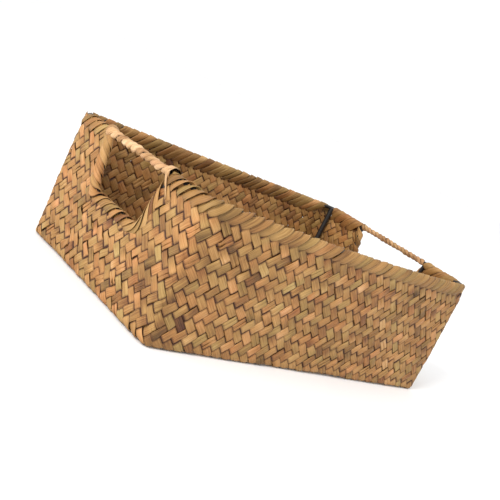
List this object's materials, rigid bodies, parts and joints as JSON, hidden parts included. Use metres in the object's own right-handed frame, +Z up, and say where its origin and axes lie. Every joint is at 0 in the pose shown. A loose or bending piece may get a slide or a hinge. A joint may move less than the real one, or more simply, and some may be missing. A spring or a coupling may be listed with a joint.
{
  "type": "bread basket",
  "caption": "Open rectangular bread basket of plaited rush strips over a black wire frame, with a hand hole and a wrapped handle at each end.",
  "frame": {"origin": "on the ground under the middle of the basket", "axes": "+X along the long side, from the left end to the right end; +Y from front to back; +Z up"},
  "size_m": [0.36, 0.2426, 0.124],
  "materials": {
    "rush_strip": "flat dried rush strips, matt with a faint sheen",
    "rush_fold": "flat dried rush strips folded over an edge",
    "pale_rush": "pale twisted rush wound round the wire",
    "black_wire": "satin black paint on iron wire"
  },
  "bodies": {
    "root": {"back_left_post": "black_wire", "back_right_post": "black_wire", "back_rim_border": "rush_fold", "back_wall": "rush_strip", "base_mat": "rush_strip", "base_wire": "black_wire", "front_left_post": "black_wire", "front_right_post": "black_wire", "front_rim_border": "rush_fold", "front_wall": "rush_strip", "left_back_rim_border": "rush_fold", "left_front_rim_border": "rush_fold", "left_handle_wrap": "pale_rush", "left_hole_edging": "rush_fold", "left_hole_wire": "black_wire", "left_wall": "rush_strip", "right_back_rim_border": "rush_fold", "right_front_rim_border": "rush_fold", "right_handle_wrap": "pale_rush", "right_hole_edging": "rush_fold", "right_hole_wire": "black_wire", "right_wall": "rush_strip", "rim_wire": "black_wire"}
  },
  "joints": []
}
